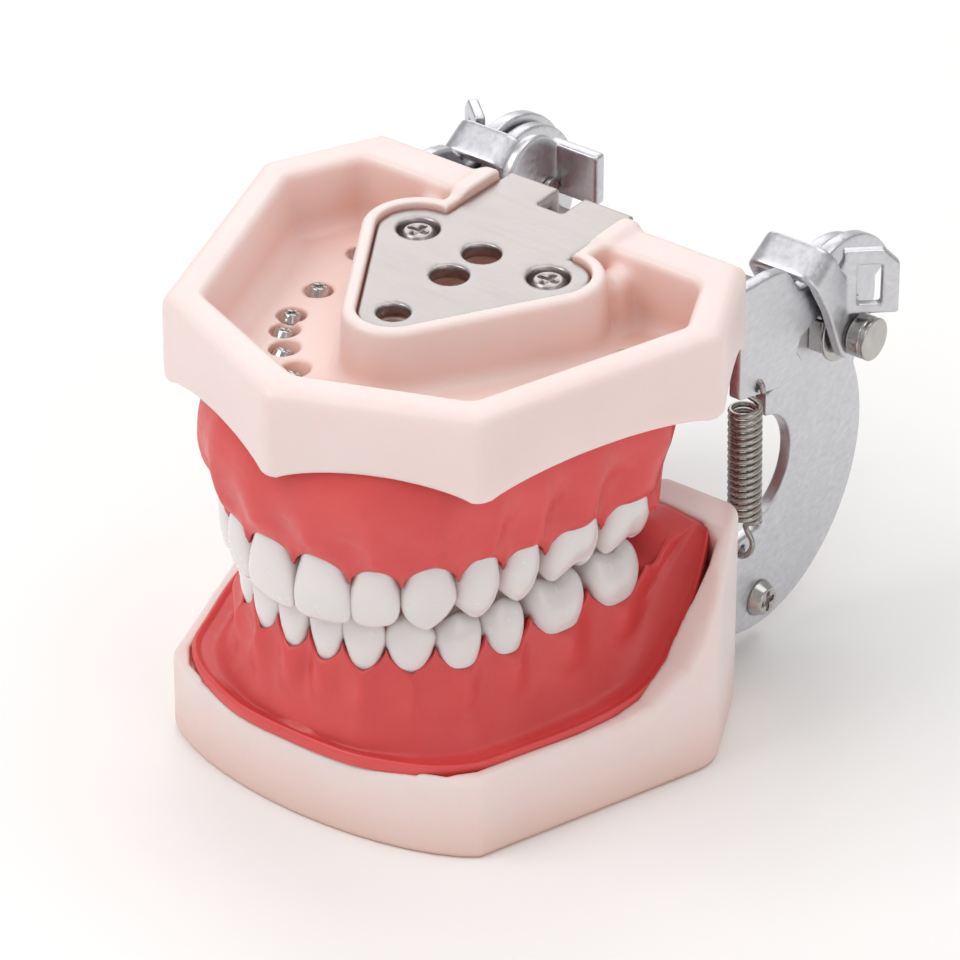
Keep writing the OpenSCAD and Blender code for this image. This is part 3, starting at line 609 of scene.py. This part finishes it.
def tooth(arch, side, index):
    w, d, x, y, turn, _ = ROWS[arch][index]
    lower = arch == "lower"
    upright = np.array([1, 1, 1 if lower else -1])
    if index < 3:
        h = 10.0 if arch == "upper" else 8.0
        h += {0: 0.0, 1: -0.35, 2: 0.25}[index]
        rows = front_tooth(w * CROWN_FIT, d, h, ["central", "lateral", "canine"][index], lower)
    else:
        h = 9.85 if arch == "upper" else 7.05
        lean = 0.07 if lower else 0.03
        rows = back_tooth(w * CROWN_FIT, d, h - BITE_GAP, 2 if index < 5 else 4, lean)
    p = rows * upright
    a = math.radians(turn)
    px = p[..., 0] * math.cos(a) - (p[..., 1] + d / 2) * math.sin(a) + x
    py = p[..., 0] * math.sin(a) + (p[..., 1] + d / 2) * math.cos(a) + y
    pz = p[..., 2] + GUM_Z[arch]
    word = "left" if side == 1 else "right"
    pts = np.stack([side * px, py, pz], -1).reshape(-1, 3)
    faces = lattice(rows.shape[0], rows.shape[1], True)
    name = f"{arch}_{word}_{NAMES[index]}"
    me = mesh_of("crown_" + name, pts, faces)
    clean(me, merge=0.004, fill=True)
    return piece("crown_" + name, me, "tooth", arch, [name])


# ---------------------------------------------------------------- gums
def arch_curve(arch, back):
    """Samples along the tooth line from the midline to the rear of the left side: centre, outward
    direction, half depths of the tooth line, and 0 at a contact to 1 at mid-tooth."""
    knots, half, mid = [], [], []
    rows = ROWS[arch]
    centres, ends = [], []
    for w, d, x, y, turn, _ in rows:
        a = math.radians(turn)
        c = np.array([x - math.sin(a) * d / 2, y + math.cos(a) * d / 2])
        t = np.array([math.cos(a), math.sin(a)])
        centres.append(c)
        ends.append((c - t * w / 2, c + t * w / 2))
    for i, (w, d, *_rest) in enumerate(rows):
        before = ends[i][0] if i == 0 else (ends[i - 1][1] + ends[i][0]) / 2
        if i == 0:
            before = np.array([0.0, before[1] + 0.25])
        d0 = d if i == 0 else (d + rows[i - 1][1]) / 2
        knots += [before, centres[i]]
        half += [d0 * 0.27, d * 0.455]
        mid += [0.0, 1.0]
    knots += [ends[-1][1], np.array([ends[-1][1][0] + 0.3, back])]
    half += [rows[-1][1] * 0.36, rows[-1][1] * 0.44]
    mid += [0.0, 0.0]
    pack = np.column_stack([np.array(knots), half])
    mirror = pack[1:][::-1] * np.array([-1, 1, 1])
    whole = spline(np.concatenate([mirror, pack]), 14)
    u = np.concatenate([np.array(mid[1:])[::-1], mid])
    where = np.linspace(0, len(u) - 1, len(whole))
    base = np.floor(where).astype(int).clip(0, len(u) - 2)
    f = where - base
    arc = (1 - np.cos(np.pi * (u[base] * (1 - f) + u[base + 1] * f))) / 2
    lin = u[base] * (1 - f) + u[base + 1] * f
    tangent = np.gradient(whole[:, :2], axis=0)
    normal = unit(np.stack([tangent[:, 1], -tangent[:, 0]], -1))
    return whole[:, :2], normal, whole[:, 2], lin, arc, where


def scallop(lin, peak):
    """Height of the gum margin above its lowest point: a rounded arch at each tooth, a point
    between two."""
    return peak * (1 - 0.7 * np.sqrt(np.clip(1 - (1 - lin) ** 2, 0, 1)) - 0.3 * np.sin(lin * math.pi / 2))


def even(sections, places, passes):
    """Smooth the skin along the arch, by a number of passes read from the profile's places."""
    rows = sections.shape[1]
    wanted = np.interp(np.arange(rows), list(places) + [places[-1] + 4], list(passes) + [0])
    for k in range(int(max(passes))):
        use = wanted > k
        mid = (sections[:-2, use] + 2 * sections[1:-1, use] + sections[2:, use]) / 4
        sections[1:-1, use] = mid


def rounded_ends(sections, bulge):
    """Close both rear ends with rings that shrink to a point and bulge to the rear."""
    for edge in (0, -1):
        cap = sections[edge].copy()
        rings = []
        for k in (0.1, 0.3, 0.6, 1.0):
            ring = cap * (1 - k) + cap.mean(0) * k
            ring[:, 1] += bulge * math.sqrt(1 - (1 - k) ** 2)
            rings.append(ring)
        parts = [np.array(rings[::-1]), sections] if edge == 0 else [sections, np.array(rings)]
        sections = np.concatenate(parts)
    return sections


def gum_mesh(name, sections, kind, body, node):
    """Skin over cross-sections: an array of columns x profile points x 3."""
    cols, rows, _ = sections.shape
    pts = sections.reshape(-1, 3)
    faces = lattice(cols, rows)
    me = mesh_of(name, pts, faces)
    clean(me, merge=0.01)
    return piece(name, me, kind, body, [node])


def upper_gum():
    p, n, f, lin, arc, where = arch_curve("upper", -0.9)
    gz = GUM_Z["upper"] + 0.3
    peak = 3.3
    sc = scallop(lin, peak)
    # how much further the gum comes down over each crown, from the midline back
    cover = np.interp(np.abs(where - (len(p) - 1) / 14 / 2), 2 * np.arange(8) + 1,
                      [0, 0.8, 0.3, 0.5, 1.4, 1.8, 2.0, 2.0])
    zm = gz - sc - cover
    f = f + 0.13 * cover
    em = 0.55 * arc - 0.25
    out = []
    mid_y = np.interp(np.abs(p[:, 0]), [0, 8, 16, 20, 24], [-33, -30, -20, -10, -0.9])
    for i in range(len(p)):
        F = f[i]
        col = [(F + 1.6, 55.9), (F + 2.2, 54.6), (F + 2.8, 52.8), (F + 3.15 + em[i] * 0.3, 50.2),
               (F + 2.9 + em[i] * 0.8, 47.2), (F + 2.1 + em[i] * 1.0, 44.6),
               (F + 1.25 + em[i] * 0.9, zm[i] + 1.9), (F + 0.72 + em[i] * 0.3, zm[i] + 0.75),
               (F + 0.40, zm[i] + 0.18), (F + 0.05, zm[i] + 0.05), (F - 0.45, zm[i] + 0.55),
               (0.0, zm[i] + 1.1 * arc[i] + 0.5), (-F + 0.45, zm[i] + 0.75), (-F - 0.1, zm[i] + 0.15),
               (-F - 0.5, zm[i] + 0.25), (-F - 1.2, zm[i] + 1.3), (-F - 2.2, 45.2 - sc[i] * 0.2),
               (-F - 3.6, 47.4), (-F - 5.4, 48.9)]
        prof = [(p[i, 0] + n[i, 0] * e, p[i, 1] + n[i, 1] * e, z) for e, z in col]
        inner = np.array(prof[-1])
        goal = np.array([0.0, mid_y[i], 49.4])
        for t in (0.35, 0.7, 1.0):
            q = inner * (1 - t) + goal * t
            q[2] = inner[2] + (49.4 - inner[2]) * min(1, t * 1.5)
            prof.append(tuple(q))
        prof = np.array(prof)
        out.append(spline(prof, 4))
    s = np.array(out)
    even(s, 4 * np.arange(6), [140, 140, 130, 110, 50, 12])
    # the rear end slants back towards the base
    rear = np.clip((s[..., 1] + 11) / 10, 0, 1)
    rear = rear * rear * (3 - 2 * rear)
    s[..., 1] += 4.5 * rear * np.clip((s[..., 2] - 43) / 11, 0, 1)
    s = rounded_ends(s, 0.9)
    return gum_mesh("upper_gum_skin", s, "gum", "upper", "upper_gum")


def border_at(points, normals):
    """How far out along each normal the border of the lower gum lies."""
    line = spline([(-x, y) for x, y in BORDER[:0:-1]] + BORDER, 6)
    a, b = line[:-1], line[1:]
    far = []
    for p, n in zip(points, normals):
        e = b - a
        den = n[0] * e[:, 1] - n[1] * e[:, 0]
        den = np.where(np.abs(den) < 1e-9, 1e-9, den)
        r = a - p
        s = (r[:, 0] * e[:, 1] - r[:, 1] * e[:, 0]) / den
        t = (r[:, 0] * n[1] - r[:, 1] * n[0]) / den
        ok = (t >= -0.01) & (t <= 1.01) & (s > 0)
        far.append(s[ok].min() if ok.any() else 7.0)
    far = np.array(far)
    for _ in range(6):
        far[1:-1] = (far[:-2] + 2 * far[1:-1] + far[2:]) / 4
    return far


def lower_gum():
    p, n, f, lin, arc, _ = arch_curve("lower", 6.9)
    gz = GUM_Z["lower"] - 0.2
    sc = scallop(lin, 3.4)
    B = border_at(p, n)
    frenum = np.exp(-(p[:, 0] / 1.6) ** 2) * (p[:, 1] < -30)
    em = 0.6 * arc - 0.25
    back = np.clip((p[:, 1] + 3.2) / 6.0, 0, 1)
    back = back * back * (3 - 2 * back)
    pad = 23.6 + 6.6 * back
    zm = np.where(p[:, 1] > -3.0, np.maximum(gz + sc, pad), gz + sc)
    floor = np.interp(p[:, 1], [-60, -12, -6, -2.5, 1.0, 8], [13.0, 13.0, 14.0, 19.0, 27.0, 29.9])
    out = []
    for i in range(len(p)):
        F = f[i]
        b = B[i]
        room = max(b - 0.5 - (F + 1.2), 0.6)
        fl = floor[i]
        ridge = zm[i] - sc[i]
        col = [(b + 0.0, fl - 1.6), (b - 0.05, fl - 0.35), (b - 0.40, fl + 0.10), (b - 0.95, fl - 0.10),
               (b - 1.6, fl - 0.30 + 1.6 * frenum[i]), (F + 1.25 + room * 0.42, fl - 0.1 + 2.2 * frenum[i]),
               (F + 1.2 + room * 0.10 + em[i] * 0.2, fl + (ridge - fl) * 0.30),
               (F + 1.25 + em[i] * 0.9, fl + (ridge - fl) * 0.58),
               (F + 1.05 + em[i] * 0.9, fl + (ridge - fl) * 0.80),
               (F + 0.72 + em[i] * 0.3, zm[i] - 0.75), (F + 0.40, zm[i] - 0.18), (F + 0.05, zm[i] - 0.05),
               (F - 0.45, zm[i] - 0.5), (0.0, zm[i] - 1.0 * arc[i] - 0.3 + 0.5 * back[i]),
               (-F + 0.45, zm[i] - 0.6), (-F - 0.1, zm[i] - 0.15), (-F - 0.5, zm[i] - 0.3),
               (-F - 1.1, zm[i] - 1.3), (-F - 1.6, 20.0 + 6 * back[i]), (-F - 2.0, 16.5 + 4 * back[i]),
               (-F - 2.5, 13.6), (-F - 3.4, 12.5), (-F - 3.6, 11.6)]
        if back[i] > 0.02:
            k = back[i]
            wide = b - 0.95 + F
            for j in range(3, 14):
                e, z = col[j]
                u = min(1, max(0, (b - 0.95 - e) / wide))
                u = u * u * (3 - 2 * u)
                col[j] = (e, z * (1 - k) + (fl - 0.1 + (pad[i] - fl + 0.1) * u) * k)
        prof = np.array([(p[i, 0] + n[i, 0] * e, p[i, 1] + n[i, 1] * e, z) for e, z in col])
        out.append(spline(prof, 4))
    s = np.array(out)
    even(s, 4 * np.arange(9), [150, 150, 150, 150, 150, 150, 120, 50, 12])
    s = rounded_ends(s, 0.5)
    return gum_mesh("lower_gum_skin", s, "gum", "lower", "lower_gum")


# ---------------------------------------------------------------- metal parts
def blurred(field, passes):
    """The field with a small binomial blur, which rounds every edge of the shape it holds."""
    for _ in range(passes):
        for axis in range(3):
            ahead, behind = np.roll(field, -1, axis), np.roll(field, 1, axis)
            field = (ahead + 2 * field + behind) / 4
    return field


def bent_down(points):
    """The strap and web of the upper frame, sloping down behind the rim of the base."""
    start, slope = 17.5, 0.62
    points[:, 2] -= slope * np.maximum(points[:, 1] - start, 0)
    return points


def remeshed(node, name, kind, body, step=0.14, passes=3, shape=None):
    """A CAD node drawn again with rounded edges, through a grid of distances."""
    source = bpy.data.objects[node].data
    source.calc_loop_triangles()
    points = np.empty(len(source.vertices) * 3, np.float32)
    source.vertices.foreach_get("co", points)
    points = points.reshape(-1, 3) / MM
    if shape:
        points = shape(points)
    corners = np.empty(len(source.loop_triangles) * 3, np.int32)
    source.loop_triangles.foreach_get("vertices", corners)
    grid = openvdb.FloatGrid.createLevelSetFromPolygons(
        np.ascontiguousarray(points, np.float32),
        triangles=np.ascontiguousarray(corners.reshape(-1, 3), np.uint32),
        transform=openvdb.createLinearTransform(voxelSize=step), halfWidth=3.0)
    low = np.floor(points.min(0) / step).astype(int) - 4
    size = np.ceil(points.max(0) / step).astype(int) + 5 - low
    field = np.full(tuple(size), 3 * step, np.float32)
    grid.copyToArray(field, ijk=tuple(int(k) for k in low))
    smooth = openvdb.FloatGrid(3 * step)
    smooth.copyFromArray(blurred(field, passes))
    points, triangles, quads = smooth.convertToPolygons(isovalue=0.0, adaptivity=0.04)
    faces = np.concatenate([triangles, quads[:, [0, 1, 2]], quads[:, [0, 2, 3]]])
    me = mesh_of(name, (points + low) * step, faces[:, ::-1])
    return piece(name, me, kind, body, [node])


def tube(path, radius, sides=14):
    """A round wire along a path of millimetre points."""
    p = np.asarray(path, float)
    t = unit(np.gradient(p, axis=0))
    ref = np.array([1.0, 0, 0])
    frames = []
    a = unit(np.cross(t[0], ref))
    for k in range(len(p)):
        a = unit(a - t[k] * (a @ t[k]))
        frames.append((a, np.cross(t[k], a)))
    ang = np.linspace(0, 2 * math.pi, sides, endpoint=False)
    c, s = np.cos(ang)[:, None], np.sin(ang)[:, None]
    return np.array([p[k] + radius * (c * a + s * b) for k, (a, b) in enumerate(frames)])


def closing_spring(side):
    foot, top = np.array([26.2, 18.9, 22.6]), np.array([26.2, 18.3, 41.6])
    axis = unit(top - foot)
    length = np.linalg.norm(top - foot)
    u = np.array([1.0, 0, 0])
    v = np.cross(axis, u)
    r, pitch = 1.95, 1.02
    turns = (length - 1.6) / pitch
    t = np.linspace(0, turns, int(turns * 22))
    coil = (foot + axis * 0.8 + np.outer(t * pitch, axis)
            + r * (np.outer(np.cos(2 * math.pi * t), u) + np.outer(np.sin(2 * math.pi * t), v)))
    low = [np.array([24.2, 18.9, 17.6]), np.array([25.4, 18.9, 17.0]), np.array([26.9, 18.9, 17.9]),
           np.array([27.6, 18.9, 19.8]), np.array([26.6, 18.9, 21.6]), np.array([26.9, 18.3, 22.9])]
    k = coil[-1]
    high = [k + np.array([-0.6, 0.3, 0.7]), np.array([26.6, 18.3, 42.9]), np.array([26.2, 18.3, 44.2]),
            np.array([27.3, 18.3, 45.6]), np.array([28.7, 18.3, 45.2]), np.array([29.0, 18.3, 44.1])]
    path = np.concatenate([spline(low + [coil[0]], 8)[:-1], coil, spline([coil[-1]] + high, 8)[1:]])
    path[:, 0] *= side
    rows = tube(path, 0.4)
    faces = lattice(len(rows), rows.shape[1], True)
    word = "left" if side == 1 else "right"
    me = mesh_of("closing_spring_" + word, rows.reshape(-1, 3), faces)
    clean(me, fill=True)
    ob = piece("closing_spring_" + word, me, "spring", None, ["spring_" + word])
    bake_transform(ob)
    return ob


# ---------------------------------------------------------------- build
upper_base()
lower_base()
upper_gum()
lower_gum()
for jaw in ("upper", "lower"):
    for hand in (1, -1):
        for number in range(7):
            tooth(jaw, hand, number)
remeshed("upper_frame", "upper_frame_plate", "nickel", "upper", 0.16, shape=bent_down)
remeshed("lower_frame", "lower_frame_plate", "nickel", "lower", 0.18)
for word in ("left", "right"):
    remeshed("upper_arm_" + word, "hinge_arm_" + word, "satin", "upper", 0.13, 4)
    remeshed("side_plate_" + word, "crescent_" + word, "satin", "lower", 0.16)
    remeshed("clip_" + word, "swing_clip_" + word, "satin", "clip_" + word, 0.13, 5)
    remeshed("hinge_pin_" + word, "pin_" + word, "bright", "lower", 0.1, 2)
remeshed("release_lever", "thumb_lever", "satin", "release_lever", 0.12, 8)
remeshed("lever_screw", "lever_rivet", "bright", "clip_right", 0.08)
remeshed("hinge_nuts", "hex_nuts", "bright", "lower", 0.1, 2)
remeshed("hinge_washers", "washers", "bright", "lower", 0.08, 2)
remeshed("side_plate_screws", "crescent_screws", "bright", "lower", 0.1, 2)
for jaw in ("upper", "lower"):
    remeshed(jaw + "_plate_screws", jaw + "_recessed_screws", "nickel", jaw, 0.1, 2)
    remeshed(jaw + "_tooth_screws", jaw + "_crown_screws", "bright", jaw, 0.12, 1)
closing_spring(1)
closing_spring(-1)


# ---------------------------------------------------------------- floor, light, camera
def floor():
    """A pale sheet that curves up at the back."""
    n, half, rise_at, rise_by = 90, 1.6, 0.75, 0.35
    t = np.linspace(-1, 1, n)
    x, y = np.meshgrid(t * half, t * half, indexing="ij")
    z = 0 * x + rise_by * np.clip((y - rise_at) / (half - rise_at), 0, 1) ** 2
    me = mesh_of("floor", np.stack([x, y, z], -1).reshape(-1, 3) / MM, lattice(n, n))
    me.shade_smooth()
    m = Nodes("pale_sweep", Roughness=0.62)
    m.set("Base Color", m.ramp(m.noise(6, 3), [(0.3, (0.98, 0.975, 0.965)), (0.7, (0.99, 0.985, 0.975))]))
    m.bump([m.noise(400, 3)], [0.02], [0.0003])
    me.materials.append(m.mat)
    ob = bpy.data.objects.new("floor", me)
    SCENE.collection.objects.link(ob)


def lamp(name, place, aim, size, watts, colour=(1, 1, 1)):
    data = bpy.data.lights.new(name, "AREA")
    data.shape = "RECTANGLE"
    data.size, data.size_y = size
    data.energy = watts
    data.color = colour
    ob = bpy.data.objects.new(name, data)
    ob.location = place
    ob.rotation_euler = (Vector(aim) - Vector(place)).to_track_quat("-Z", "Y").to_euler()
    SCENE.collection.objects.link(ob)


SCENE.view_settings.view_transform = "Standard"
floor()
lamp("key", (-0.35, -0.45, 0.75), (0, -0.01, 0.03), (0.6, 0.5), 3.1)
lamp("fill", (0.75, -0.30, 0.40), (0, 0, 0.03), (0.5, 0.6), 1.0)
lamp("top", (0.05, 0.25, 0.9), (0, 0, 0.03), (0.8, 0.6), 2.3)
lamp("rear", (-0.5, 0.55, 0.45), (0, 0, 0.04), (0.5, 0.4), 1.0)
world = bpy.data.worlds.new("studio")
SCENE.world = world
world.use_nodes = True
world.node_tree.nodes["Background"].inputs["Color"].default_value = (1, 1, 1, 1)
world.node_tree.nodes["Background"].inputs["Strength"].default_value = 0.47

cam = bpy.data.cameras.new("camera")
cam.lens, cam.sensor_width = 225, 36
cam.clip_start, cam.clip_end = 0.05, 20
camera = bpy.data.objects.new("camera", cam)
SCENE.collection.objects.link(camera)
AZIMUTH, ELEVATION, DISTANCE = math.radians(37.1), math.radians(32.13), 0.7829
AIM = Vector((0.0037, -0.0096, 0.035))
back = Vector((math.sin(AZIMUTH) * math.cos(ELEVATION), -math.cos(AZIMUTH) * math.cos(ELEVATION),
               math.sin(ELEVATION)))
camera.location = AIM + back * DISTANCE
camera.rotation_mode = "QUATERNION"
camera.rotation_quaternion = (-back).to_track_quat("-Z", "Y")
SCENE.camera = camera
